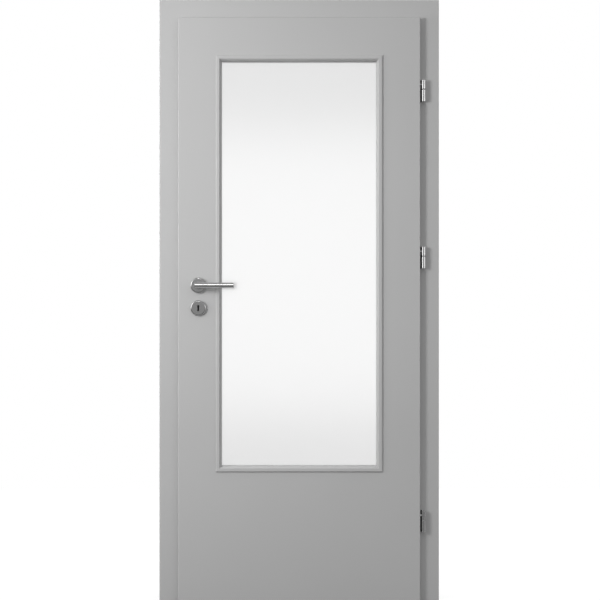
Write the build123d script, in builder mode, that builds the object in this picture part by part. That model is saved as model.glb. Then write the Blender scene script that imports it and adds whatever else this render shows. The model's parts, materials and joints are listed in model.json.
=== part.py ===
# Glazed interior door: a rebated leaf in a casing frame, with a lever handle on round roses.
# The frame stands on the floor at z = 0 and wraps a wall whose middle is the plane y = 0.
# The origin is on the wall face of the hinge-side lining, and the leaf opens towards -Y.
import os

from build123d import *

os.makedirs("parts", exist_ok=True)

# Driving dimensions, in millimetres

# Frame: linings through the wall, casings on both of its faces
wall_thickness = 100.0
lining_thickness = 22.0
stop_width = 15.0  # lining edge that the leaf closes against
front_casing_width = 74.0
back_casing_width = 80.0
back_casing_thickness = 16.0
casing_edge_radius = 3.0
casing_relief = 2.0  # hollow in the casings' backs
bearing_width = 12.0  # casing strip that lies on the wall
tongue_thickness = 6.0
tongue_length = 22.0
seal_width = 9.0
seal_stem_width = 2.6
seal_stem_depth = 5.5

# Leaf: skins on a frame of stiles and rails, with a lip all round but the bottom
leaf_width = 844.0
leaf_height = 2030.0
leaf_thickness = 40.0
lip_width = 13.0
lip_thickness = 15.0
skin_thickness = 3.0
leaf_edge_radius = 2.5

# Clearances of the closed leaf
floor_gap = 7.0
rebate_gap = 6.0
face_gap = 5.0
stop_gap = 5.0
seal_gap = 1.0

# Glazing
stile_face = 132.0  # leaf edge to bead, also across the top
bottom_face = 448.0
glass_thickness = 4.0
glass_edge_gap = 4.0
bead_width = 22.0
bead_flange = 12.0  # part of the bead that lies on the skin
bead_height = 5.0
bead_edge_radius = 3.0
bead_flat = 12.0  # outer edge to quirk
bead_quirk = 1.5
bead_slope_depth = 4.0
bead_slope_swell = 1.0

# Handle and key roses
handle_drop = 933.0  # leaf top to lever axis
handle_inset = 71.0  # leaf edge to lever axis
lever_diameter = 19.0
lever_reach = 126.0  # lever axis to the free end
lever_stand = 48.0  # leaf face to the grip's axis
rose_diameter = 55.0
rose_thickness = 9.0
collar_diameter = 28.0
collar_height = 3.0
key_drop = 79.0  # lever axis to the key rose's middle
keyhole_round = 8.0
keyhole_foot = 7.0
keyhole_waist = 5.4
keyhole_pitch = 14.0
key_slot_width = 20.0  # slot through the leaf behind the key roses
key_slot_height = 34.0
spindle_size = 8.0
spindle_grip = 30.0  # spindle length inside each lever

# Lock and strike
handle_bore = 22.0  # through the leaf, round the spindle
lock_depth = 88.0
lock_height = 165.0
lock_thickness = 12.0
lock_above_handle = 45.0
faceplate_height = 235.0
faceplate_width = 18.0
faceplate_thickness = 3.0
follower_hole = 14.0
latch_thickness = 10.0
latch_height = 22.0
bolt_height = 30.0
bolt_length = 35.0
strike_height = 180.0
strike_thickness = 2.0
strike_leg = 22.0
strike_setback = 1.0  # plate edge to the lip's edge
strike_side_play = 1.0  # round the latch and the bolt
strike_end_play = 2.0
strike_pocket = 14.0

# Hinges: drops are from the leaf's top to the seam between the two knuckles
hinge_drops = (249.0, 831.0, 1751.0)
hinge_names = ("top_hinge", "middle_hinge", "bottom_hinge")
barrel_diameter = 14.0
barrel_gap = 5.0  # barrel to leaf edge
leaf_knuckle = 32.0
frame_knuckle = 42.0
axle_diameter = 7.0
axle_length = 24.0
axle_end_gap = 1.0
washer_thickness = 1.5
pin_diameter = 6.5
leaf_pin_depth = 42.0
frame_pin_depth = 18.0

# Fits
glue_gap = 0.2  # around tongues, plates and pins
slide_gap = 0.3  # around pieces that move or drop in
running_gap = 0.05  # hinge axle in its knuckle

# Derived planes and positions
wall_front = -wall_thickness / 2
wall_back = wall_thickness / 2
front_casing_thickness = leaf_thickness - lip_thickness - face_gap + stop_gap
casing_front = wall_front - front_casing_thickness
lip_back = casing_front - face_gap
leaf_front = lip_back - lip_thickness
leaf_back = leaf_front + leaf_thickness
leaf_middle = (leaf_front + leaf_back) / 2
core_front = leaf_front + skin_thickness
core_back = leaf_back - skin_thickness

clear_width = leaf_width - 2 * (lip_width - rebate_gap + stop_width)
hinge_reveal = -lining_thickness
lock_reveal = hinge_reveal - clear_width
hinge_rebate = hinge_reveal + stop_width
lock_rebate = lock_reveal - stop_width
leaf_hinge_edge = hinge_rebate - rebate_gap + lip_width
leaf_lock_edge = leaf_hinge_edge - leaf_width
body_hinge_edge = leaf_hinge_edge - lip_width
body_lock_edge = leaf_lock_edge + lip_width

leaf_bottom = floor_gap
leaf_top = leaf_bottom + leaf_height
body_top = leaf_top - lip_width
clear_height = body_top + rebate_gap - stop_width

stile_width = stile_face + bead_flange
window_lock = leaf_lock_edge + stile_width
window_hinge = leaf_hinge_edge - stile_width
window_top = leaf_top - stile_width
window_bottom = leaf_bottom + bottom_face + bead_flange
window_width = window_hinge - window_lock
window_height = window_top - window_bottom
window_centre = ((window_lock + window_hinge) / 2, (window_bottom + window_top) / 2)
glass_depth = (leaf_thickness - glass_thickness) / 2

handle_x = leaf_lock_edge + handle_inset
handle_z = leaf_top - handle_drop
key_z = handle_z - key_drop
lock_y = (lip_back + leaf_back) / 2
lock_z = handle_z + lock_above_handle - lock_height / 2
bolt_z = key_z - keyhole_pitch
key_slot_z = key_z + (keyhole_round - keyhole_foot) / 4

barrel_radius = barrel_diameter / 2
pivot_x = leaf_hinge_edge + barrel_gap + barrel_radius
pivot_y = leaf_front + lip_thickness / 2
seams = [leaf_top - drop for drop in hinge_drops]
leaf_pin_rise = leaf_knuckle / 2
frame_pin_fall = frame_knuckle / 2

leaf_face = Plane.XZ.offset(-leaf_front)
leaf_centre = Plane.XZ.offset(-leaf_middle)
low = Align.MIN
mid = Align.CENTER
high = Align.MAX


def write(piece, label):
    piece.label = label
    export_step(piece, f"parts/{label}.step")


def mitre(run, along, facing, slant):
    # the plane at 45 degrees across a run; the side it faces is kept
    corner = run.from_local_coords((0, 0, along))
    return Plane(corner, z_dir=run.z_dir * facing + run.x_dir * slant)


def run_bar(section, run, start, end, mitres):
    with BuildPart() as bar:
        extrude(section(run.offset(start)), amount=end - start)
        for cut in mitres:
            split(bisect_by=cut, keep=Keep.TOP)
    return bar.part


# Frame sections: x runs from the clear opening into the wall, y through the wall

def lining_section(plane):
    with BuildSketch(plane) as section:
        Rectangle(lining_thickness, wall_thickness, align=(low, mid))
        with Locations((stop_width / 2, wall_front)):
            Rectangle(
                seal_stem_width + 2 * glue_gap,
                seal_stem_depth + glue_gap,
                align=(mid, low),
                mode=Mode.SUBTRACT,
            )
        with Locations((lining_thickness / 2, wall_back)):
            Rectangle(
                tongue_thickness + 2 * glue_gap,
                tongue_length + glue_gap,
                align=(mid, high),
                mode=Mode.SUBTRACT,
            )
    return section.sketch


def front_casing_section(plane):
    relief_width = stop_width + front_casing_width - bearing_width - lining_thickness
    with BuildSketch(plane) as section:
        with Locations((stop_width, wall_front)):
            Rectangle(front_casing_width, front_casing_thickness, align=(low, high))
        fillet(section.vertices().group_by(Axis.Y)[0], casing_edge_radius)
        with Locations((lining_thickness, wall_front)):
            Rectangle(relief_width, casing_relief, align=(low, high), mode=Mode.SUBTRACT)
    return section.sketch


def back_casing_section(plane):
    relief_width = back_casing_width - bearing_width - lining_thickness
    with BuildSketch(plane) as section:
        with Locations((0, wall_back)):
            Rectangle(back_casing_width, back_casing_thickness, align=(low, low))
        fillet(section.vertices().group_by(Axis.Y)[-1], casing_edge_radius)
        with Locations((lining_thickness, wall_back)):
            Rectangle(relief_width, casing_relief, align=(low, low), mode=Mode.SUBTRACT)
        with Locations((lining_thickness / 2, wall_back)):
            Rectangle(tongue_thickness, tongue_length, align=(mid, high))
    return section.sketch


def seal_section(plane):
    centre = stop_width / 2
    half = seal_width / 2
    with BuildSketch(plane) as section:
        with BuildLine():
            crest = (centre, wall_front - stop_gap + seal_gap)
            bulb = ThreePointArc((centre - half, wall_front), crest, (centre + half, wall_front))
            Line(bulb @ 1, bulb @ 0)
        make_face()
        with Locations((centre, wall_front)):
            Rectangle(seal_stem_width, seal_stem_depth, align=(mid, low))
    return section.sketch


# The frame's three runs, each mitred where it meets the next
reach = lining_thickness + front_casing_width + back_casing_width
hinge_run = Plane((hinge_reveal, 0, 0), x_dir=(1, 0, 0), z_dir=(0, 0, 1))
lock_run = Plane((lock_reveal, 0, clear_height), x_dir=(-1, 0, 0), z_dir=(0, 0, -1))
head_run = Plane((hinge_reveal, 0, clear_height), x_dir=(0, 0, 1), z_dir=(-1, 0, 0))
hinge_side = (hinge_run, 0, clear_height + reach, [mitre(hinge_run, clear_height, -1, 1)])
lock_side = (lock_run, -reach, clear_height, [mitre(lock_run, 0, 1, 1)])
head_cuts = [mitre(head_run, 0, 1, 1), mitre(head_run, clear_width, -1, 1)]
head_side = (head_run, -reach, clear_width + reach, head_cuts)

frame_sections = {
    "lining": lining_section,
    "back_casing": back_casing_section,
    "seal": seal_section,
}
for sort, section in frame_sections.items():
    write(run_bar(section, *hinge_side), f"hinge_{sort}")
    write(run_bar(section, *lock_side), f"lock_{sort}")
    write(run_bar(section, *head_side), f"head_{sort}")

write(run_bar(front_casing_section, *head_side), "head_front_casing")

# Hinge-side front casing, drilled for the pins of the frame knuckles
with BuildPart() as hinge_front_casing:
    add(run_bar(front_casing_section, *hinge_side))
    with BuildSketch(Plane.XZ.offset(-casing_front)):
        with Locations(*[(pivot_x, seam - frame_pin_fall) for seam in seams]):
            Circle(pin_diameter / 2 + glue_gap)
    extrude(amount=-frame_pin_depth - glue_gap, mode=Mode.SUBTRACT)
write(hinge_front_casing.part, "hinge_front_casing")

# Strike: an angle plate round the rebate's front corner, with holes for the latch and the bolt
strike_front_leg = lip_width - rebate_gap - strike_setback
strike_low = lock_z - strike_height / 2
strike_hole_width = latch_thickness + 2 * strike_side_play
latch_hole = (strike_hole_width, latch_height + 2 * strike_end_play)
bolt_hole = (strike_hole_width, bolt_height + 2 * strike_end_play)


def strike_section(plane, leg, front_leg):
    with BuildSketch(plane) as section:
        with Locations((lock_rebate, casing_front)):
            Rectangle(front_leg, leg, align=(high, low))
        outer = section.vertices().sort_by(Axis.Y)[0:2].sort_by(Axis.X)[-1]
        fillet(outer, casing_edge_radius)
        with Locations((lock_rebate - strike_thickness, casing_front + strike_thickness)):
            Rectangle(front_leg, leg, align=(high, low), mode=Mode.SUBTRACT)
    return section.sketch


with BuildPart() as strike_plate:
    extrude(strike_section(Plane.XY.offset(strike_low), strike_leg, strike_front_leg), amount=strike_height)
    with BuildSketch(Plane.YZ.offset(lock_rebate)):
        with Locations((lock_y, handle_z)):
            Rectangle(*latch_hole)
        with Locations((lock_y, bolt_z)):
            Rectangle(*bolt_hole)
    extrude(amount=-strike_thickness, mode=Mode.SUBTRACT)
write(strike_plate.part, "strike_plate")

with BuildPart() as lock_front_casing:
    add(run_bar(front_casing_section, *lock_side))
    recess = strike_section(
        Plane.XY.offset(strike_low - glue_gap), strike_leg + glue_gap, strike_front_leg + glue_gap
    )
    extrude(recess, amount=strike_height + 2 * glue_gap, mode=Mode.SUBTRACT)
    with BuildSketch(Plane.YZ.offset(lock_rebate - strike_thickness)):
        with Locations((lock_y, handle_z)):
            Rectangle(*latch_hole)
        with Locations((lock_y, bolt_z)):
            Rectangle(*bolt_hole)
    extrude(amount=-strike_pocket, mode=Mode.SUBTRACT)
write(lock_front_casing.part, "lock_front_casing")

# Leaf frame: L-shaped stiles whose lip alone carries on over the top, rails between them
lock_edge = Plane((leaf_lock_edge, 0, leaf_bottom), x_dir=(1, 0, 0), z_dir=(0, 0, 1))
hinge_edge = Plane((leaf_hinge_edge, 0, leaf_top), x_dir=(-1, 0, 0), z_dir=(0, 0, -1))


def stile(edge):
    with BuildPart() as bar:
        with BuildSketch(edge):
            with Locations((0, core_front)):
                Rectangle(stile_width, lip_back - core_front, align=(low, low))
            with Locations((lip_width, lip_back)):
                Rectangle(stile_width - lip_width, core_back - lip_back, align=(low, low))
        extrude(amount=leaf_height)
        with BuildSketch(Plane.XY.offset(body_top)):
            with Locations((window_centre[0], lip_back)):
                Rectangle(leaf_width, leaf_thickness, align=(mid, low))
        extrude(amount=lip_width, mode=Mode.SUBTRACT)
    return bar.part


with BuildPart() as hinge_stile:
    add(stile(hinge_edge))
    with BuildSketch(Plane.YZ.offset(leaf_hinge_edge)):
        with Locations(*[(pivot_y, seam + leaf_pin_rise) for seam in seams]):
            Circle(pin_diameter / 2 + glue_gap)
    extrude(amount=-leaf_pin_depth - glue_gap, mode=Mode.SUBTRACT)
write(hinge_stile.part, "hinge_stile")

with BuildPart() as lock_stile:
    add(stile(lock_edge))
    with BuildSketch(Plane.YZ.offset(body_lock_edge)):
        with Locations((lock_y, lock_z)):
            Rectangle(faceplate_width + 2 * glue_gap, faceplate_height + 2 * glue_gap)
    extrude(amount=faceplate_thickness, mode=Mode.SUBTRACT)
    with BuildSketch(Plane.YZ.offset(body_lock_edge)):
        with Locations((lock_y, lock_z)):
            Rectangle(lock_thickness + 2 * slide_gap, lock_height + 2 * slide_gap)
    extrude(amount=faceplate_thickness + lock_depth + slide_gap, mode=Mode.SUBTRACT)
    with BuildSketch(leaf_face):
        with Locations((handle_x, handle_z)):
            Circle(handle_bore / 2)
        with Locations((handle_x, key_slot_z)):
            Rectangle(key_slot_width, key_slot_height)
    extrude(amount=-leaf_thickness, mode=Mode.SUBTRACT)
write(lock_stile.part, "lock_stile")

with BuildPart() as top_rail:
    with BuildSketch(Plane.YZ.offset(window_lock)):
        with Locations((core_front, leaf_top)):
            Rectangle(lip_back - core_front, stile_width, align=(low, high))
        with Locations((lip_back, body_top)):
            Rectangle(core_back - lip_back, stile_width - lip_width, align=(low, high))
    extrude(amount=window_width)
write(top_rail.part, "top_rail")

with BuildPart() as bottom_panel:
    with BuildSketch(Plane.YZ.offset(window_lock)):
        with Locations((core_front, leaf_bottom)):
            Rectangle(core_back - core_front, window_bottom - leaf_bottom, align=(low, low))
    extrude(amount=window_width)
write(bottom_panel.part, "bottom_panel")


def skin_sketch(plane, lock_x, hinge_x, top_z):
    with BuildSketch(plane) as section:
        with Locations((lock_x, leaf_bottom)):
            Rectangle(hinge_x - lock_x, top_z - leaf_bottom, align=(low, low))
        with Locations(window_centre):
            Rectangle(window_width, window_height, mode=Mode.SUBTRACT)
        with Locations((handle_x, handle_z)):
            Circle(handle_bore / 2, mode=Mode.SUBTRACT)
        with Locations((handle_x, key_slot_z)):
            Rectangle(key_slot_width, key_slot_height, mode=Mode.SUBTRACT)
    return section.sketch


def outer_edges(face):
    # the two sides and the top of a skin's outer face
    uprights = face.edges().filter_by(Axis.Z).sort_by(Axis.X)
    head = face.edges().filter_by(Axis.X).sort_by(Axis.Z)[-1]
    return [uprights[0], uprights[-1], head]


with BuildPart() as front_skin:
    extrude(skin_sketch(leaf_face, leaf_lock_edge, leaf_hinge_edge, leaf_top), amount=-skin_thickness)
    show_face = front_skin.faces().sort_by(Axis.Y)[0]
    fillet(outer_edges(show_face), leaf_edge_radius)
write(front_skin.part, "front_skin")

with BuildPart() as back_skin:
    extrude(
        skin_sketch(Plane.XZ.offset(-leaf_back), body_lock_edge, body_hinge_edge, body_top),
        amount=skin_thickness,
    )
    show_face = back_skin.faces().sort_by(Axis.Y)[-1]
    fillet(outer_edges(show_face), leaf_edge_radius)
write(back_skin.part, "back_skin")

# Glass and its beads
with BuildPart() as glass_pane:
    with BuildSketch(leaf_centre):
        with Locations(window_centre):
            Rectangle(window_width - 2 * glass_edge_gap, window_height - 2 * glass_edge_gap)
    extrude(amount=glass_thickness / 2, both=True)
write(glass_pane.part, "glass_pane")

bead_lock = leaf_lock_edge + stile_face
bead_hinge = leaf_hinge_edge - stile_face
bead_bottom = leaf_bottom + bottom_face
bead_top = leaf_top - stile_face


def bead_section(plane):
    # x runs from the bead's outer edge towards the glass, y out of the leaf's face
    with BuildSketch(plane) as section:
        with BuildLine():
            foot = (bead_flange + glue_gap, -glass_depth)
            nose = (bead_width, -glass_depth)
            brow = (bead_width, -bead_slope_depth)
            quirk = (bead_flat, bead_height - bead_quirk)
            swell = (
                (brow[0] + quirk[0]) / 2 + bead_slope_swell,
                (brow[1] + quirk[1]) / 2 + bead_slope_swell,
            )
            crown = (bead_edge_radius, bead_height)
            side = (0, bead_height - bead_edge_radius)
            Polyline((0, 0), (bead_flange + glue_gap, 0), foot, nose, brow)
            ThreePointArc(brow, swell, quirk)
            Polyline(quirk, (bead_flat, bead_height), crown)
            RadiusArc(crown, side, -bead_edge_radius)
            Line(side, (0, 0))
        make_face()
    return section.sketch


def bead(corner, inward, along, length):
    run = Plane(corner, x_dir=inward, z_dir=along)
    return run_bar(bead_section, run, 0, length, [mitre(run, 0, 1, -1), mitre(run, length, -1, -1)])


bead_run = bead_hinge - bead_lock
bead_rise = bead_top - bead_bottom
front_beads = {
    "lock_bead": bead((bead_lock, leaf_front, bead_top), (1, 0, 0), (0, 0, -1), bead_rise),
    "hinge_bead": bead((bead_hinge, leaf_front, bead_bottom), (-1, 0, 0), (0, 0, 1), bead_rise),
    "top_bead": bead((bead_hinge, leaf_front, bead_top), (0, 0, -1), (-1, 0, 0), bead_run),
    "bottom_bead": bead((bead_lock, leaf_front, bead_bottom), (0, 0, 1), (1, 0, 0), bead_run),
}
for label, front_bead in front_beads.items():
    write(front_bead, f"front_{label}")
    with BuildPart() as back_bead:
        mirror(front_bead, about=leaf_centre)
    write(back_bead.part, f"back_{label}")

# Mortise lock with its faceplate, the latch and the bolt drawn back flush with it
with BuildPart() as mortise_lock:
    with BuildSketch(Plane.YZ.offset(body_lock_edge)):
        with Locations((lock_y, lock_z)):
            Rectangle(faceplate_width, faceplate_height)
    extrude(amount=faceplate_thickness)
    with BuildSketch(Plane.YZ.offset(body_lock_edge + faceplate_thickness)):
        with Locations((lock_y, lock_z)):
            Rectangle(lock_thickness, lock_height)
    extrude(amount=lock_depth)
    with BuildSketch(Plane.YZ.offset(body_lock_edge)):
        with Locations((lock_y, handle_z)):
            Rectangle(latch_thickness + 2 * slide_gap, latch_height + 2 * slide_gap)
        with Locations((lock_y, bolt_z)):
            Rectangle(latch_thickness + 2 * slide_gap, bolt_height + 2 * slide_gap)
    extrude(amount=bolt_length + slide_gap, mode=Mode.SUBTRACT)
    with BuildSketch(leaf_face):
        with Locations((handle_x, handle_z)):
            Circle(follower_hole / 2)
        with Locations((handle_x, key_slot_z)):
            Rectangle(keyhole_round, keyhole_pitch + (keyhole_round + keyhole_foot) / 2)
    extrude(amount=-leaf_thickness, mode=Mode.SUBTRACT)
write(mortise_lock.part, "mortise_lock")

with BuildPart() as latch_bolt:
    with BuildSketch(Plane.XY.offset(handle_z)):
        with BuildLine():
            Polyline(
                (body_lock_edge, lock_y - latch_thickness / 2),
                (body_lock_edge, lock_y - latch_thickness / 4),
                (body_lock_edge + latch_thickness, lock_y + latch_thickness / 2),
                (body_lock_edge + bolt_length, lock_y + latch_thickness / 2),
                (body_lock_edge + bolt_length, lock_y - latch_thickness / 2),
                close=True,
            )
        make_face()
    extrude(amount=latch_height / 2, both=True)
write(latch_bolt.part, "latch_bolt")

with BuildPart() as dead_bolt:
    with BuildSketch(Plane.YZ.offset(body_lock_edge)):
        with Locations((lock_y, bolt_z)):
            Rectangle(latch_thickness, bolt_height)
    extrude(amount=bolt_length)
write(dead_bolt.part, "dead_bolt")

# Roses: a disc with a collar round the lever's neck, and a disc with the keyhole
rose_radius = rose_diameter / 2
neck_hole = lever_diameter / 2 + slide_gap

with BuildPart() as front_lever_rose:
    with BuildSketch(leaf_face):
        with Locations((handle_x, handle_z)):
            Circle(rose_radius)
    extrude(amount=rose_thickness)
    with BuildSketch(leaf_face.offset(rose_thickness)):
        with Locations((handle_x, handle_z)):
            Circle(collar_diameter / 2)
    extrude(amount=collar_height)
    with BuildSketch(leaf_face):
        with Locations((handle_x, handle_z)):
            Circle(neck_hole)
    extrude(amount=rose_thickness + collar_height, mode=Mode.SUBTRACT)
write(front_lever_rose.part, "front_lever_rose")

with BuildPart() as front_key_rose:
    with BuildSketch(leaf_face):
        with Locations((handle_x, key_z)):
            Circle(rose_radius)
            Rectangle(keyhole_waist, keyhole_pitch, mode=Mode.SUBTRACT)
        with Locations((handle_x, key_z + keyhole_pitch / 2)):
            Circle(keyhole_round / 2, mode=Mode.SUBTRACT)
        with Locations((handle_x, key_z - keyhole_pitch / 2)):
            Circle(keyhole_foot / 2, mode=Mode.SUBTRACT)
    extrude(amount=rose_thickness)
write(front_key_rose.part, "front_key_rose")

with BuildPart() as back_lever_rose:
    mirror(front_lever_rose.part, about=leaf_centre)
write(back_lever_rose.part, "back_lever_rose")

with BuildPart() as back_key_rose:
    mirror(front_key_rose.part, about=leaf_centre)
write(back_key_rose.part, "back_key_rose")

# Lever: a round bar bent square at a mitre, bored square for the spindle
neck_foot = (handle_x, leaf_front - slide_gap, handle_z)
bend = (handle_x, leaf_front - lever_stand, handle_z)
tip = (handle_x + lever_reach, leaf_front - lever_stand, handle_z)

with BuildPart() as front_lever:
    with BuildLine() as spine:
        Polyline(neck_foot, bend, tip)
    with BuildSketch(Plane(neck_foot, x_dir=(1, 0, 0), z_dir=(0, -1, 0))):
        Circle(lever_diameter / 2)
    sweep(path=spine.wire(), transition=Transition.RIGHT)
    with BuildSketch(Plane(neck_foot, x_dir=(1, 0, 0), z_dir=(0, -1, 0))):
        Rectangle(spindle_size + 2 * running_gap, spindle_size + 2 * running_gap)
    extrude(amount=spindle_grip, mode=Mode.SUBTRACT)
write(front_lever.part, "front_lever")

with BuildPart() as back_lever:
    mirror(front_lever.part, about=leaf_centre)
write(back_lever.part, "back_lever")

with BuildPart() as spindle:
    with BuildSketch(leaf_centre):
        with Locations((handle_x, handle_z)):
            Rectangle(spindle_size, spindle_size)
    extrude(amount=leaf_thickness / 2 + spindle_grip, both=True)
write(spindle.part, "spindle")

# Hinges: the leaf knuckle turns on the frame knuckle's axle, with a washer between them
knuckle_wall = (barrel_radius + axle_diameter / 2) / 2

for hinge, seam in zip(hinge_names, seams):
    with BuildPart() as leaf_part:
        with BuildSketch(Plane((pivot_x, pivot_y, seam + washer_thickness / 2 + glue_gap))):
            Circle(barrel_radius)
        extrude(amount=leaf_knuckle)
        with BuildSketch(Plane((pivot_x, pivot_y, seam))):
            Circle(axle_diameter / 2 + running_gap)
        extrude(amount=axle_length + washer_thickness, mode=Mode.SUBTRACT)
        with BuildSketch(Plane((pivot_x - knuckle_wall, pivot_y, seam + leaf_pin_rise), z_dir=(-1, 0, 0))):
            Circle(pin_diameter / 2)
        extrude(amount=barrel_radius - knuckle_wall + barrel_gap + leaf_pin_depth)
    write(leaf_part.part, f"{hinge}_leaf_part")

    with BuildPart() as frame_part:
        with BuildSketch(Plane((pivot_x, pivot_y, seam - washer_thickness / 2 - frame_knuckle))):
            Circle(barrel_radius)
        extrude(amount=frame_knuckle)
        with BuildSketch(Plane((pivot_x, pivot_y, seam - washer_thickness / 2))):
            Circle(axle_diameter / 2)
        extrude(amount=washer_thickness + axle_length - axle_end_gap)
        with BuildSketch(Plane.XZ.offset(-pivot_y)):
            with Locations((pivot_x, seam - frame_pin_fall)):
                Circle(pin_diameter / 2)
        extrude(amount=pivot_y - casing_front - frame_pin_depth)
    write(frame_part.part, f"{hinge}_frame_part")

with BuildPart() as hinge_washers:
    for seam in seams:
        with BuildSketch(Plane((pivot_x, pivot_y, seam - washer_thickness / 2))):
            Circle(barrel_radius - slide_gap)
            Circle(axle_diameter / 2 + slide_gap, mode=Mode.SUBTRACT)
        extrude(amount=washer_thickness)
write(hinge_washers.part, "hinge_washers")
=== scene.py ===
import json
import math

import bmesh
import bpy
from mathutils import Matrix, Vector


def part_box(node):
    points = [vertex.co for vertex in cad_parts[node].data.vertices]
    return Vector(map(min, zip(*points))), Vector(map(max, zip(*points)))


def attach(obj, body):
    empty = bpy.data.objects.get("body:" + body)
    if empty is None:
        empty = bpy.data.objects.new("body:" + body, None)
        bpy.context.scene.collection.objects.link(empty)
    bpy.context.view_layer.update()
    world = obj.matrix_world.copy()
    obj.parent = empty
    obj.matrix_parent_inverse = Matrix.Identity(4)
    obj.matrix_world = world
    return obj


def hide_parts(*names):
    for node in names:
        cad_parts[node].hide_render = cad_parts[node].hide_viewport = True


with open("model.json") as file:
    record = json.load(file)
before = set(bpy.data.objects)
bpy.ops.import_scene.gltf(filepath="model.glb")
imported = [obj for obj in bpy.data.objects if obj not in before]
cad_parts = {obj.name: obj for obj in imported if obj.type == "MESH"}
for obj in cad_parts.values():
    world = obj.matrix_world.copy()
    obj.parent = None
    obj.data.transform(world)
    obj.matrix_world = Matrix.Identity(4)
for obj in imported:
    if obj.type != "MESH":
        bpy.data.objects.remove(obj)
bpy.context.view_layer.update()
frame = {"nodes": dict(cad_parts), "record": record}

scene = bpy.context.scene
facings = {"front": -1, "back": 1}          # which way each face of the leaf looks along y
hingePlaces = ("top", "middle", "bottom")


def nodeMiddle(node):
    low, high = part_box(node)
    return (low + high) / 2


# shader nodes

def addNode(tree, kind, inputs=None, **settings):
    node = tree.nodes.new(kind)
    for name, value in settings.items():
        setattr(node, name, value)
    for name, value in (inputs or {}).items():
        node.inputs[name].default_value = value
    return node


def startMaterial(name, sockets):
    material = bpy.data.materials.new(name)
    material.use_nodes = True
    shader = material.node_tree.nodes["Principled BSDF"]
    for socket, value in sockets.items():
        shader.inputs[socket].default_value = value
    return material, material.node_tree, shader


def objectPoint(tree, centre=(0, 0, 0), stretch=(1, 1, 1)):
    coords = addNode(tree, "ShaderNodeTexCoord")
    place = addNode(tree, "ShaderNodeMapping")
    place.inputs["Location"].default_value = [-c * s for c, s in zip(centre, stretch)]
    place.inputs["Scale"].default_value = stretch
    tree.links.new(coords.outputs["Object"], place.inputs["Vector"])
    return place.outputs["Vector"]


def addNoise(tree, point, scale, detail=2.0):
    noise = addNode(tree, "ShaderNodeTexNoise", {"Scale": scale, "Detail": detail})
    tree.links.new(point, noise.inputs["Vector"])
    return noise.outputs["Fac"]


def addRange(tree, value, toLow, toHigh, low=0.3, high=0.7):
    # a noise keeps mostly between 0.3 and 0.7
    limits = {"From Min": low, "From Max": high, "To Min": toLow, "To Max": toHigh}
    spread = addNode(tree, "ShaderNodeMapRange", limits)
    tree.links.new(value, spread.inputs["Value"])
    return spread.outputs["Result"]


def addTone(tree, shader, value, grey, spread):
    # spread is a share of the grey, to either side
    tone = addRange(tree, value, (1 - spread) * grey, (1 + spread) * grey)
    tree.links.new(tone, shader.inputs["Base Color"])


def addRoughness(tree, shader, value, limits):
    tree.links.new(addRange(tree, value, *limits), shader.inputs["Roughness"])


def addBump(tree, shader, height, depth):
    bump = addNode(tree, "ShaderNodeBump", {"Strength": 1.0, "Distance": depth})
    tree.links.new(height, bump.inputs["Height"])
    tree.links.new(bump.outputs["Normal"], shader.inputs["Normal"])


# satin grey foil on the leaf and the frame

softSpecular = 0.4          # foil, plastic and rubber

foil = {
    "grey": 0.42,
    "drift": 0.006,         # slow change of tone over a panel
    "driftScale": 2.4,
    "grainScale": 1400.0,   # fine orange peel
    "grainDetail": 3.0,
    "grainDepth": 0.00004,
    "roughness": (0.36, 0.44),
}


def makeFoil(name):
    material, tree, shader = startMaterial(name, {"Specular IOR Level": softSpecular})
    point = objectPoint(tree)
    drift = addNoise(tree, point, foil["driftScale"])
    grain = addNoise(tree, point, foil["grainScale"], foil["grainDetail"])
    addTone(tree, shader, drift, foil["grey"], foil["drift"] / foil["grey"])
    addRoughness(tree, shader, grain, foil["roughness"])
    addBump(tree, shader, grain, foil["grainDepth"])
    return material


# frosted glass

frost = {
    "tint": (0.8, 0.8, 0.8, 1.0),
    "ior": 1.45,
    "roughness": (0.34, 0.42),
    "grainScale": 2600.0,
    "grainDepth": 0.00002,
}


def makeFrost(name):
    sockets = {"Base Color": frost["tint"], "Transmission Weight": 1.0, "IOR": frost["ior"]}
    material, tree, shader = startMaterial(name, sockets)
    grain = addNoise(tree, objectPoint(tree), frost["grainScale"])
    addRoughness(tree, shader, grain, frost["roughness"])
    addBump(tree, shader, grain, frost["grainDepth"])
    return material


# metals: fine lines stretched along the way each piece was brushed or turned

steel = {
    "lever": {"grey": 0.6, "roughness": (0.15, 0.22), "stretch": (12, 900, 900), "depth": 0.000006},
    "hinge": {"grey": 0.62, "roughness": (0.12, 0.18), "stretch": (700, 700, 8), "depth": 0.000005},
    "lock": {"grey": 0.5, "roughness": (0.32, 0.44), "stretch": (500, 500, 10), "depth": 0.00002},
    # near-black: the black oxide of the grub screws, and painted shade on the key lever behind the keyhole
    "dark": {"grey": 0.03, "roughness": (0.5, 0.6), "stretch": (300, 300, 300), "depth": 0.00002},
    "screw": {"grey": 0.55, "roughness": (0.25, 0.35), "stretch": (800, 800, 800), "depth": 0.00001},
}
steelLines = {"scale": 1.0, "detail": 3.0, "spread": 0.04}


def makeSteel(name, finish):
    material, tree, shader = startMaterial(name, {"Metallic": 1.0})
    point = objectPoint(tree, stretch=finish["stretch"])
    lines = addNoise(tree, point, steelLines["scale"], steelLines["detail"])
    addTone(tree, shader, lines, finish["grey"], steelLines["spread"])
    addRoughness(tree, shader, lines, finish["roughness"])
    addBump(tree, shader, lines, finish["depth"])
    return material


# roses are turned, so their lines run in rings round the middle

ringed = {
    "grey": 0.56,
    "spread": 0.08,
    "roughness": (0.18, 0.26),
    "ringScale": 1500.0,
    "ringDetail": 3.0,
    "depth": 0.000008,
}


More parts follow.
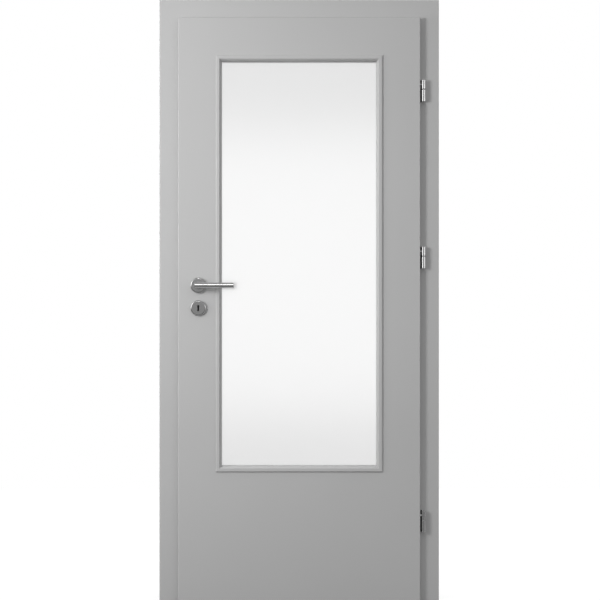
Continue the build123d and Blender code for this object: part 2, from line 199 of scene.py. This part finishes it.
def makeRinged(name, centre):
    material, tree, shader = startMaterial(name, {"Metallic": 1.0})
    flat = addNode(tree, "ShaderNodeVectorMath", operation="MULTIPLY")
    flat.inputs[1].default_value = (1, 0, 1)        # the rose turns about y
    radius = addNode(tree, "ShaderNodeVectorMath", operation="LENGTH")
    ringNoise = {"Scale": ringed["ringScale"], "Detail": ringed["ringDetail"]}
    rings = addNode(tree, "ShaderNodeTexNoise", ringNoise, noise_dimensions="1D")
    tree.links.new(objectPoint(tree, centre), flat.inputs[0])
    tree.links.new(flat.outputs["Vector"], radius.inputs[0])
    tree.links.new(radius.outputs["Value"], rings.inputs["W"])
    lines = rings.outputs["Fac"]
    addTone(tree, shader, lines, ringed["grey"], ringed["spread"])
    addRoughness(tree, shader, lines, ringed["roughness"])
    addBump(tree, shader, lines, ringed["depth"])
    return material


# moulded plastic and rubber

moulded = {
    "washer": {"grey": 0.06, "roughness": (0.4, 0.5), "grainScale": 900.0, "depth": 0.00002},
    # the packer's near-black is painted shade for the gap between leaf and knuckles
    "shadePacker": {"grey": 0.012, "roughness": (0.6, 0.7), "grainScale": 900.0, "depth": 0.00003},
    "seal": {"grey": 0.3, "roughness": (0.6, 0.75), "grainScale": 600.0, "depth": 0.00005},
}
mouldedSpread = 0.05


def makeMoulded(name, finish):
    material, tree, shader = startMaterial(name, {"Specular IOR Level": softSpecular})
    grain = addNoise(tree, objectPoint(tree), finish["grainScale"])
    addTone(tree, shader, grain, finish["grey"], mouldedSpread)
    addRoughness(tree, shader, grain, finish["roughness"])
    addBump(tree, shader, grain, finish["depth"])
    return material


leverMiddle = nodeMiddle("front_lever_rose")
keyMiddle = nodeMiddle("front_key_rose")

finishes = {
    "frame_foil": makeFoil("frameFoil"),
    "leaf_foil": makeFoil("leafFoil"),
    "frosted_glass": makeFrost("frostedGlass"),
    "handle_steel": makeSteel("leverSteel", steel["lever"]),
    "hinge_nickel": makeSteel("hingeNickel", steel["hinge"]),
    "lock_steel": makeSteel("lockSteel", steel["lock"]),
    "washer_plastic": makeMoulded("washerPlastic", moulded["washer"]),
    "seal_rubber": makeMoulded("sealRubber", moulded["seal"]),
}
leverRoseSteel = makeRinged("leverRoseSteel", leverMiddle)
keyRoseSteel = makeRinged("keyRoseSteel", keyMiddle)
# painted shade: near-black plastic for the hinge packers
paintedShadePlastic = makeMoulded("paintedShadePlastic", moulded["shadePacker"])
# near-black steel: black-oxide grub screws, and painted shade for the key lever
oxideAndShadeSteel = makeSteel("oxideAndShadeSteel", steel["dark"])
screwSteel = makeSteel("screwSteel", steel["screw"])

for part in frame["record"]["subparts"]:
    node = frame["nodes"][part["node"]]
    node.data.materials.clear()
    node.data.materials.append(finishes[part["material_slot"]])
print("finishes set:", len(finishes), "slots")


# mesh making

smooth = {
    "segments": 3,
    "sharpAngle": math.radians(32),
    "profile": 0.5,          # a round bevel
    "support": 0.0005,       # from a rounded edge to the next loop, so that the face behind stays straight
    "merge": 1e-6,
    "onRing": 1e-5,          # how near a vertex counts as on a ring
}
tiny = 1e-9                  # keeps a division off zero


def turnTo(axis):
    return Vector((0, 0, 1)).rotation_difference(Vector(axis)).to_matrix().to_4x4()


def addRing(bm, centre, axis, radius, segments, capped=False):
    place = Matrix.Translation(centre) @ turnTo(axis)
    made = bmesh.ops.create_circle(bm, cap_ends=capped, segments=segments, radius=radius, matrix=place)
    return made["verts"]


def addPlate(bm, width, height, rows=1):
    upright = Matrix.Rotation(math.pi / 2, 4, "X")
    bmesh.ops.create_grid(bm, x_segments=1, y_segments=rows, size=0.5, matrix=upright)
    bmesh.ops.scale(bm, vec=(width, 1, height), verts=bm.verts)


def loopEdges(verts):
    inLoop = set(verts)
    return list({e for v in verts for e in v.link_edges if set(e.verts) <= inLoop})


def onlyVerts(made):
    return [item for item in made["geom"] if isinstance(item, bmesh.types.BMVert)]


def pullLoop(bm, verts, move):
    pulled = onlyVerts(bmesh.ops.extrude_edge_only(bm, edges=loopEdges(verts)))
    bmesh.ops.translate(bm, verts=pulled, vec=move)
    return pulled


def roundEdges(bm, edges, radius, segments=smooth["segments"]):
    bmesh.ops.bevel(bm, geom=edges, offset=radius, offset_type="OFFSET", affect="EDGES",
                    segments=segments, profile=smooth["profile"], material=-1)


def insetCaps(bm, segments):
    caps = [f for f in bm.faces if len(f.verts) == segments]
    bmesh.ops.inset_region(bm, faces=caps, thickness=smooth["support"])


def addBar(bm, foot, axis, length, radius, edge, segments):
    keep = edge + smooth["support"]
    rims = [addRing(bm, foot, axis, radius, segments, capped=True)]
    for step in (keep, length - 2 * keep, keep):
        rims.append(pullLoop(bm, rims[-1], Vector(axis) * step))
    bmesh.ops.edgeloop_fill(bm, edges=loopEdges(rims[-1]))
    roundEdges(bm, loopEdges(rims[0]) + loopEdges(rims[-1]), edge)
    insetCaps(bm, segments)


def reshapeRing(verts, centre, axis, reach):
    # moves a ring's vertices along their own rays, as far as reach(angle) says
    turn = turnTo(axis)
    for vert in verts:
        local = turn.inverted() @ (vert.co - centre)
        angle = math.atan2(local.y, local.x)
        ray = Vector((math.cos(angle), math.sin(angle), 0))
        vert.co = centre + turn @ (ray * reach(angle))


def pullTo(bm, verts, centre, axis, reach):
    pulled = pullLoop(bm, verts, (0, 0, 0))
    reshapeRing(pulled, centre, axis, reach)
    return pulled


def finishPiece(bm, name, body, slotName, material, *replaced):
    bmesh.ops.remove_doubles(bm, verts=bm.verts, dist=smooth["merge"])
    bmesh.ops.recalc_face_normals(bm, faces=bm.faces)
    openEdges = sum(1 for e in bm.edges if len(e.link_faces) != 2)
    mesh = bpy.data.meshes.new(name)
    bm.to_mesh(mesh)
    bm.free()
    mesh.polygons.foreach_set("use_smooth", [True] * len(mesh.polygons))
    mesh.set_sharp_from_angle(angle=smooth["sharpAngle"])
    mesh.materials.append(material)
    piece = bpy.data.objects.new(name, mesh)
    scene.collection.objects.link(piece)
    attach(piece, body)
    if replaced:
        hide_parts(*replaced)
    print("  made", name, len(mesh.polygons), "faces,", openEdges, "open edges")


def standFor(bm, node, body, slotName, material):
    # a piece that takes the place of a CAD node has its name, with hyphens
    finishPiece(bm, node.replace("_", "-"), body, slotName, material, node)


# glazing beads: mitred bars with a rounded outer edge, a quirk, and a slope that turns down to the glass

bead = {
    "proud": 0.005,          # over the leaf's face
    "edge": 0.003,
    "flat": 0.012,           # outer edge to quirk
    "quirk": 0.0015,
    "toeInset": 0.002,       # the slope's toe on the glass, from the inner edge of the solid bead
    "browInset": 0.0035,     # its brow, where the slope turns down to the toe
    "browDepth": 0.003,
    "browRound": 0.0025,
    "segments": 6,
}
beadRuns = {                 # from the outer edge towards the glass, and along the bar
    "lock": ((1, 0, 0), (0, 0, 1)),
    "hinge": ((-1, 0, 0), (0, 0, 1)),
    "top": ((0, 0, -1), (1, 0, 0)),
    "bottom": ((0, 0, 1), (1, 0, 0)),
}


def beadProfile(width, glassDepth):
    # distance from the outer edge towards the glass, height over the leaf's face
    keepEdge = bead["edge"] + smooth["support"]
    return {
        "rest": (0, 0),
        "side": (0, bead["proud"] - keepEdge),
        "corner": (0, bead["proud"]),
        "crown": (keepEdge, bead["proud"]),
        "step": (bead["flat"], bead["proud"]),
        "stepFoot": (bead["flat"], bead["proud"] - bead["quirk"]),
        "brow": (width - bead["browInset"], -bead["browDepth"]),
        "toe": (width - bead["toeInset"], -glassDepth),
        "foot": (bead["flat"], -glassDepth),
        "lap": (bead["flat"], 0),
    }


def longEdges(vert, farVerts):
    return [e for e in vert.link_edges if e.other_vert(vert) in farVerts]


def makeBead(node, facing, inward, along):
    low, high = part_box(node)
    inward, along, out = Vector(inward), Vector(along), Vector((0, facing, 0))
    size = high - low
    width = abs(size.dot(inward))
    length = abs(size.dot(along))
    start = nodeMiddle(node) - inward * width / 2 - along * length / 2
    start.y = low.y + bead["proud"] if facing < 0 else high.y - bead["proud"]

    bm = bmesh.new()
    near = {}
    for name, (inset, height) in beadProfile(width, size.y - bead["proud"]).items():
        near[name] = bm.verts.new(start + (inward + along) * inset + out * height)
    loop = list(near.values())
    for a, b in zip(loop, loop[1:] + loop[:1]):
        bm.edges.new((a, b))
    far = pullLoop(bm, loop, (0, 0, 0))
    for vert in far:
        vert.co += along * (length - 2 * (vert.co - start).dot(inward))
    bmesh.ops.edgeloop_fill(bm, edges=loopEdges(loop))
    bmesh.ops.edgeloop_fill(bm, edges=loopEdges(far))
    cornerEdge = longEdges(near["corner"], far)
    browEdge = longEdges(near["brow"], far)
    roundEdges(bm, cornerEdge, bead["edge"], bead["segments"])
    roundEdges(bm, browEdge, bead["browRound"], bead["segments"])
    standFor(bm, node, "leaf", "leaf_foil", finishes["leaf_foil"])


for place, (inward, along) in beadRuns.items():
    for side, facing in facings.items():
        makeBead(f"{side}_{place}_bead", facing, inward, along)
print("beads made")

# roses: a turned disc with a rounded rim, and a low collar round the lever's neck

rose = {
    "rim": 0.005,
    "rimSegments": 8,
    "collarRadius": 0.014,
    "collarHeight": 0.003,
    "collarEdge": 0.0006,
    "neckHole": 0.0098,
    "segments": 96,
}


def onRing(vert, point, axis, radius, height):
    offset = vert.co - point
    along = offset.dot(axis)
    away = (offset - along * axis).length
    return abs(along - height) < smooth["onRing"] and abs(away - radius) < smooth["onRing"]


def ringEdges(bm, point, axis, radius, height):
    return [e for e in bm.edges if all(onRing(v, point, axis, radius, height) for v in e.verts)]


def roseFoot(node, facing):
    low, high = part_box(node)
    foot = nodeMiddle(node)
    foot.y = high.y if facing < 0 else low.y
    return foot, (high.x - low.x) / 2, high.y - low.y


def makeLeverRose(node, facing):
    foot, radius, depth = roseFoot(node, facing)
    axis = Vector((0, facing, 0))
    faceHeight = depth - rose["collarHeight"]
    collar = rose["collarRadius"]
    keepRim = rose["rim"] + smooth["support"]
    keepCollar = rose["collarEdge"] + smooth["support"]
    profile = [              # distance from the axis, height over the leaf's face
        (rose["neckHole"], 0),
        (radius, 0),
        (radius, faceHeight - keepRim),
        (radius, faceHeight),
        (radius - keepRim, faceHeight),
        (collar, faceHeight),
        (collar, depth - keepCollar),
        (collar, depth),
        (collar - keepCollar, depth),
        (rose["neckHole"], depth),
    ]
    bm = bmesh.new()
    verts = [bm.verts.new(foot + Vector((r, 0, 0)) + axis * h) for r, h in profile]
    edges = [bm.edges.new((a, b)) for a, b in zip(verts, verts[1:] + verts[:1])]
    bmesh.ops.spin(bm, geom=verts + edges, cent=foot, axis=axis, angle=2 * math.pi,
                   steps=rose["segments"], use_merge=True)
    bmesh.ops.remove_doubles(bm, verts=bm.verts, dist=smooth["merge"])
    roundEdges(bm, ringEdges(bm, foot, axis, radius, faceHeight), rose["rim"], rose["rimSegments"])
    roundEdges(bm, ringEdges(bm, foot, axis, collar, depth), rose["collarEdge"])
    standFor(bm, node, "leaf", "handle_steel", leverRoseSteel)


for side, facing in facings.items():
    makeLeverRose(f"{side}_lever_rose", facing)

# key roses: the same disc with a keyhole, wide at the top and the foot

keyhole = {
    "round": 0.004,          # radius of the top
    "foot": 0.0035,          # radius of the foot
    "waist": 0.0027,         # half the width between them
    "pitch": 0.014,          # from centre to centre
    "chamfer": 0.0004,
}


def rayToCircle(rise, centreZ, radius):
    # how far a ray from the middle runs before it leaves a circle above or below, or 0 if it misses
    along = rise * centreZ
    under = along ** 2 - centreZ ** 2 + radius ** 2
    return along + math.sqrt(under) if under >= 0 else 0


def makeKeyRose(node, facing):
    foot, radius, depth = roseFoot(node, facing)
    axis = Vector((0, facing, 0))
    turn = turnTo(axis)

    def keyholeReach(angle):
        ray = turn @ Vector((math.cos(angle), math.sin(angle), 0))
        half = keyhole["pitch"] / 2
        waist = keyhole["waist"] / max(abs(ray.x), tiny)
        waist = waist if waist * abs(ray.z) <= half else 0
        top = rayToCircle(ray.z, half, keyhole["round"])
        bottom = rayToCircle(ray.z, -half, keyhole["foot"])
        return max(waist, top, bottom)

    bm = bmesh.new()
    face = foot + axis * depth
    sink = face - axis * keyhole["chamfer"]
    keepRim = rose["rim"] + smooth["support"]
    outer = addRing(bm, face, axis, radius, rose["segments"])
    inner = pullTo(bm, outer, face, axis, lambda angle: radius - keepRim)
    lip = pullTo(bm, inner, face, axis, lambda angle: keyholeReach(angle) + keyhole["chamfer"])
    hole = pullTo(bm, lip, sink, axis, keyholeReach)
    holeFoot = pullTo(bm, hole, foot, axis, keyholeReach)
    pullTo(bm, holeFoot, foot, axis, lambda angle: radius)
    side = pullTo(bm, outer, face - axis * keepRim, axis, lambda angle: radius)
    pullTo(bm, side, foot, axis, lambda angle: radius)
    bmesh.ops.remove_doubles(bm, verts=bm.verts, dist=smooth["merge"])
    roundEdges(bm, ringEdges(bm, foot, axis, radius, depth), rose["rim"], rose["rimSegments"])
    standFor(bm, node, "leaf", "handle_steel", keyRoseSteel)


for side, facing in facings.items():
    makeKeyRose(f"{side}_key_rose", facing)
print("roses made")

# levers: a round bar mitred square at the corner, with a crisp flat end

lever = {"segments": 64, "mitreEdge": 0.0003, "mitreSegments": 2, "endEdge": 0.0006}


def leverBend(node, facing):
    # the bar's radius, and the point where its two arms meet
    low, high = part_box(node)
    radius = (high.z - low.z) / 2
    bendY = low.y + radius if facing < 0 else high.y - radius
    return radius, Vector((low.x + radius, bendY, (low.z + high.z) / 2))


def makeLever(node, facing):
    low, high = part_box(node)
    radius, bend = leverBend(node, facing)
    footPoint = Vector((bend.x, high.y if facing < 0 else low.y, bend.z))
    keepMitre = lever["mitreEdge"] + smooth["support"]
    keepEnd = lever["endEdge"] + smooth["support"]
    bm = bmesh.new()
    foot = addRing(bm, footPoint, (0, facing, 0), radius, lever["segments"], capped=True)
    neck = pullLoop(bm, foot, (0, 0, 0))
    for vert in neck:
        vert.co.y = bend.y - facing * (vert.co.x - bend.x + keepMitre)
    corner = pullLoop(bm, neck, (0, facing * keepMitre, 0))
    arm = pullLoop(bm, corner, (keepMitre, 0, 0))
    tip = pullLoop(bm, arm, (0, 0, 0))
    for vert in tip:
        vert.co.x = high.x - keepEnd
    end = pullLoop(bm, tip, (keepEnd, 0, 0))
    bmesh.ops.edgeloop_fill(bm, edges=loopEdges(end))
    roundEdges(bm, loopEdges(end), lever["endEdge"])
    roundEdges(bm, loopEdges(corner), lever["mitreEdge"], lever["mitreSegments"])
    insetCaps(bm, lever["segments"])
    standFor(bm, node, "handle", "handle_steel", finishes["handle_steel"])


for side, facing in facings.items():
    makeLever(f"{side}_lever", facing)
print("levers made")

# hinges: two round knuckles a pair, each with the pin that holds it

hinge = {
    "edge": 0.0008,
    "segments": 64,
    "pinRadius": 0.00325,
    "pinEdge": 0.0004,
    "pinSegments": 32,
    "seam": 0.0017,          # between the knuckles, where the washer shows
}


def addKnuckle(bm, pivot, radius, low, high, pinAxis, pinLength):
    foot = pivot + Vector((0, 0, low))
    pinFoot = pivot + Vector((0, 0, (low + high) / 2))
    addBar(bm, foot, (0, 0, 1), high - low, radius, hinge["edge"], hinge["segments"])
    addBar(bm, pinFoot, pinAxis, pinLength, hinge["pinRadius"], hinge["pinEdge"], hinge["pinSegments"])


def makeHinge(place):
    leafPart, framePart = f"{place}_hinge_leaf_part", f"{place}_hinge_frame_part"
    leafLow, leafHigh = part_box(leafPart)
    frameLow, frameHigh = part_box(framePart)
    radius = (leafHigh.y - leafLow.y) / 2
    pivot = Vector((leafHigh.x - radius, (leafLow.y + leafHigh.y) / 2, 0))

    bm = bmesh.new()
    addKnuckle(bm, pivot, radius, leafLow.z, leafHigh.z, (-1, 0, 0), pivot.x - leafLow.x)
    standFor(bm, leafPart, "leaf", "hinge_nickel", finishes["hinge_nickel"])

    bm = bmesh.new()
    addKnuckle(bm, pivot, radius, frameLow.z, leafLow.z - hinge["seam"], (0, 1, 0), frameHigh.y - pivot.y)
    standFor(bm, framePart, "frame", "hinge_nickel", finishes["hinge_nickel"])


for place in hingePlaces:
    makeHinge(place)

# near-black plates on the casing behind the knuckles, as painted shade: they make the gap between leaf and
# knuckles show as a black line

shadePacker = {
    "left": -0.004,
    "right": 0.008,
    "thickness": 0.0006,
    "corner": 0.002,
    "cornerSegments": 4,
    "edge": 0.0002,
    "edgeSegments": 2,
}


def makeShadePacker(place):
    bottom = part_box(f"{place}_hinge_frame_part")[0].z
    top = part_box(f"{place}_hinge_leaf_part")[1].z
    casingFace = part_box("hinge_front_casing")[0].y
    middle = ((shadePacker["left"] + shadePacker["right"]) / 2, casingFace, (bottom + top) / 2)
    bm = bmesh.new()
    addPlate(bm, shadePacker["right"] - shadePacker["left"], top - bottom)
    bmesh.ops.translate(bm, vec=middle, verts=bm.verts)
    bmesh.ops.bevel(bm, geom=bm.verts[:], offset=shadePacker["corner"], offset_type="OFFSET", affect="VERTICES",
                    segments=shadePacker["cornerSegments"], profile=smooth["profile"], material=-1)
    front = pullLoop(bm, bm.verts[:], (0, -shadePacker["thickness"], 0))
    bmesh.ops.edgeloop_fill(bm, edges=loopEdges(front))
    roundEdges(bm, loopEdges(front), shadePacker["edge"], shadePacker["edgeSegments"])
    # the packer's near-black plastic is painted shade in the gap
    finishPiece(bm, f"{place}-hinge-packer", "frame", "washer_plastic", paintedShadePlastic)


for place in hingePlaces:
    makeShadePacker(place)
print("hinges made")

# countersunk screws in the lock's faceplate and the strike, a grub screw under each lever

headSegments = 48
recessTaper = 0.7            # a recess is narrower at its floor

screw = {
    "radius": 0.0036,
    "proud": 0.0002,
    "sink": 0.0006,
    "recess": 0.0012,
    "armLength": 0.0021,
    "armWidth": 0.00042,
    "faceplateInset": 0.012,
    "strikeInset": 0.01,
}
grub = {
    "radius": 0.002,
    "proud": 0.00005,
    "sink": 0.0006,
    "recess": 0.0015,
    "hexReach": 0.001,
    "fromBend": 0.021,
}


def crossReach(angle):
    across, up = abs(math.cos(angle)) + tiny, abs(math.sin(angle)) + tiny
    wide = min(screw["armLength"] / across, screw["armWidth"] / up)
    tall = min(screw["armLength"] / up, screw["armWidth"] / across)
    return max(wide, tall)


def hexReach(angle):
    return grub["hexReach"] / math.cos((angle % (math.pi / 3)) - math.pi / 6)


def addHead(bm, centre, axis, head, reach):
    centre, axis = Vector(centre), Vector(axis)
    top = centre + axis * head["proud"]
    slotFoot = top - axis * head["recess"]
    rim = addRing(bm, top, axis, head["radius"], headSegments)
    slot = pullTo(bm, rim, top, axis, reach)
    slotFloor = pullTo(bm, slot, slotFoot, axis, lambda angle: recessTaper * reach(angle))
    skirt = pullTo(bm, rim, centre - axis * head["sink"], axis, lambda angle: head["radius"])
    bmesh.ops.edgeloop_fill(bm, edges=loopEdges(slotFloor))
    bmesh.ops.edgeloop_fill(bm, edges=loopEdges(skirt))


lockLow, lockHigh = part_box("mortise_lock")
strikeLow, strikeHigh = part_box("strike_plate")
lockY = (lockLow.y + lockHigh.y) / 2

bm = bmesh.new()
for height in (lockLow.z + screw["faceplateInset"], lockHigh.z - screw["faceplateInset"]):
    addHead(bm, (lockLow.x, lockY, height), (-1, 0, 0), screw, crossReach)
finishPiece(bm, "faceplate-screws", "leaf", "lock_steel", screwSteel)

bm = bmesh.new()
for height in (strikeLow.z + screw["strikeInset"], strikeHigh.z - screw["strikeInset"]):
    addHead(bm, (strikeHigh.x, lockY, height), (1, 0, 0), screw, crossReach)
finishPiece(bm, "strike-screws", "frame", "lock_steel", screwSteel)

for side, facing in facings.items():
    radius, bend = leverBend(f"{side}_lever", facing)
    bm = bmesh.new()
    addHead(bm, (bend.x, bend.y - facing * grub["fromBend"], bend.z - radius), (0, 0, -1), grub, hexReach)
    finishPiece(bm, f"{side}-lever-grub-screw", "handle", "handle_steel", oxideAndShadeSteel)

# the lock's key lever behind the keyhole, near-black as painted shade so the keyhole looks dark

keyLever = {"width": 0.0076, "height": 0.021, "thickness": 0.0016, "rows": 3, "boss": 0.0008}

bm = bmesh.new()
addPlate(bm, keyLever["width"], keyLever["height"], keyLever["rows"])
halfRow = keyLever["height"] / keyLever["rows"] / 2
middleRow = [f for f in bm.faces if abs(f.calc_center_median().z) < halfRow]
bmesh.ops.translate(bm, verts=bm.verts, vec=(keyMiddle.x, lockY, keyMiddle.z))
bmesh.ops.inset_region(bm, faces=middleRow, thickness=keyLever["boss"], depth=keyLever["boss"])
bmesh.ops.solidify(bm, geom=bm.faces, thickness=keyLever["thickness"])
# its near-black steel is painted shade inside the lock
finishPiece(bm, "lock-key-lever", "leaf", "lock_steel", oxideAndShadeSteel)
print("small fasteners made")


# studio: pale floor, white surround, soft lamps

studio = {
    "fill": 0.45,             # ambient light on the object
    "fillRise": 0.65,         # more of it from above
    "fillRight": 0.25,        # and a little more from the hinge side
    "frontGlow": 0.42,        # how bright the room behind the camera looks in metal
    "frontRamp": (0.0, 0.35),
    "underGlow": 0.4,         # share of that below the horizon
    "underRamp": (-0.25, 0.05),
    "floor": ((-2.4, -0.6), (1.6, 2.6)),
    "floorGrey": 0.12,
    "floorRoughness": 0.8,
    "floorWhite": 0.84,       # as the camera sees it
    "floorInMetal": 0.4,      # as it looks in metal
}

# the lamps light the door, the panels only show as reflections in metal
lamps = {
    "keyLamp": {"at": (-2.85, -2.25, 1.75), "to": (-0.3, -0.095, 1.45), "size": (0.85, 1.1),
                "power": 28.5, "spread": 106},
    "edgeLamp": {"at": (-3.3, -0.9, 1.5), "to": (-0.42, -0.095, 1.2), "size": (0.6, 1.4), "power": 26},
    "sideLamp": {"at": (1.9, -2.4, 1.5), "to": (0.05, -0.09, 1.3), "size": (0.9, 1.2), "power": 5},
    "backLamp": {"at": (1.5, 2.7, 1.9), "to": (-0.42, 0.05, 1.2), "size": (1.2, 1.4), "power": 50},
    "paneLamp": {"at": (-0.42, 1.7, 1.18), "to": (-0.42, 0, 1.18), "size": (4.0, 1.4), "power": 4.3},
    "keyPanel": {"at": (-2.6, -1.15, 1.75), "to": (0, -0.095, 1.45), "size": (1.6, 1.6), "power": 20},
    "leverPanel": {"at": (-0.97, -3.5, 2.95), "to": (-0.72, -0.14, 1.1), "size": (0.6, 1.0),
                   "power": 10.5},
    "hingePanel": {"at": (2.4, -1.5, 1.7), "to": (0, -0.09, 1.5), "size": (1.0, 1.6), "power": 11},
}
fullSpread = 180


def addLamp(name, setup):
    lampData = bpy.data.lights.new(name, "AREA")
    lampData.shape = "RECTANGLE"
    lampData.size, lampData.size_y = setup["size"]
    lampData.energy = setup["power"]
    lampData.spread = math.radians(setup.get("spread", fullSpread))
    lamp = bpy.data.objects.new(name, lampData)
    lamp.location = setup["at"]
    aim = Vector(setup["to"]) - Vector(setup["at"])
    lamp.rotation_euler = aim.to_track_quat("-Z", "Y").to_euler()
    lamp.visible_camera = False
    lamp.visible_diffuse = name.endswith("Lamp")
    lamp.visible_glossy = name.endswith("Panel")
    lamp.visible_transmission = name == "paneLamp"
    scene.collection.objects.link(lamp)


for name, setup in lamps.items():
    addLamp(name, setup)


def addMath(tree, operation, *values):
    node = addNode(tree, "ShaderNodeMath", operation=operation)
    for socket, value in zip(node.inputs, values):
        if isinstance(value, (int, float)):
            socket.default_value = value
        else:
            tree.links.new(value, socket)
    return node.outputs["Value"]


def seenDirectly(tree):
    # clear is for camera and see-through rays, seen is for those and mirrored ones
    path = addNode(tree, "ShaderNodeLightPath")
    clear = addMath(tree, "MAXIMUM", path.outputs["Is Camera Ray"], path.outputs["Is Transmission Ray"])
    seen = addMath(tree, "MAXIMUM", clear, path.outputs["Is Glossy Ray"])
    return clear, seen


def makeSurround():
    # white to the camera and through glass, dimmer in metal, and the fill for all other light
    world = bpy.data.worlds.new("studioSurround")
    world.use_nodes = True
    scene.world = world
    tree = world.node_tree
    clear, seen = seenDirectly(tree)
    coords = addNode(tree, "ShaderNodeTexCoord")
    split = addNode(tree, "ShaderNodeSeparateXYZ")
    tree.links.new(coords.outputs["Generated"], split.inputs["Vector"])
    ahead = addRange(tree, split.outputs["Y"], studio["frontGlow"], 1.0, *studio["frontRamp"])
    under = addRange(tree, split.outputs["Z"], studio["underGlow"], 1.0, *studio["underRamp"])
    mirrored = addMath(tree, "MULTIPLY", ahead, under)
    shown = addMath(tree, "MAXIMUM", clear, mirrored)
    sideFill = addMath(tree, "MULTIPLY_ADD", split.outputs["X"], studio["fillRight"], studio["fill"])
    fill = addMath(tree, "MULTIPLY_ADD", split.outputs["Z"], studio["fillRise"], sideFill)
    level = addNode(tree, "ShaderNodeMix", data_type="FLOAT")
    tree.links.new(seen, level.inputs["Factor"])
    tree.links.new(addMath(tree, "MAXIMUM", fill, 0.0), level.inputs["A"])
    tree.links.new(shown, level.inputs["B"])
    tree.links.new(level.outputs["Result"], tree.nodes["Background"].inputs["Color"])


def makeFloor():
    (lowX, lowY), (highX, highY) = studio["floor"]
    bm = bmesh.new()
    bmesh.ops.create_grid(bm, x_segments=1, y_segments=1, size=0.5)
    bmesh.ops.scale(bm, vec=(highX - lowX, highY - lowY, 1), verts=bm.verts)
    bmesh.ops.translate(bm, vec=((lowX + highX) / 2, (lowY + highY) / 2, 0), verts=bm.verts)
    mesh = bpy.data.meshes.new("studioFloor")
    bm.to_mesh(mesh)
    bm.free()
    floor = bpy.data.objects.new("studioFloor", mesh)
    scene.collection.objects.link(floor)
    grey = studio["floorGrey"]
    material, tree, shader = startMaterial("studioFloor", {
        "Base Color": (grey, grey, grey, 1),
        "Roughness": studio["floorRoughness"],
        "Emission Color": (1, 1, 1, 1),
    })
    clear, seen = seenDirectly(tree)
    inMetal = addMath(tree, "MULTIPLY", seen, studio["floorInMetal"])
    inView = addMath(tree, "MULTIPLY", clear, studio["floorWhite"])
    glow = addMath(tree, "MAXIMUM", inView, inMetal)
    tree.links.new(glow, shader.inputs["Emission Strength"])
    mesh.materials.append(material)


makeSurround()
makeFloor()
print("studio set")

# camera: square on to the door, at the height and distance of the photograph

eye = {"at": (-0.419, -4.595, 1.0534), "lens": 77.52, "sensor": 36.0}

cameraData = bpy.data.cameras.new("doorCamera")
cameraData.lens = eye["lens"]
cameraData.sensor_width = eye["sensor"]
camera = bpy.data.objects.new("doorCamera", cameraData)
camera.location = eye["at"]
camera.rotation_euler = (math.pi / 2, 0, 0)
scene.collection.objects.link(camera)
scene.camera = camera
scene.view_settings.view_transform = "Standard"
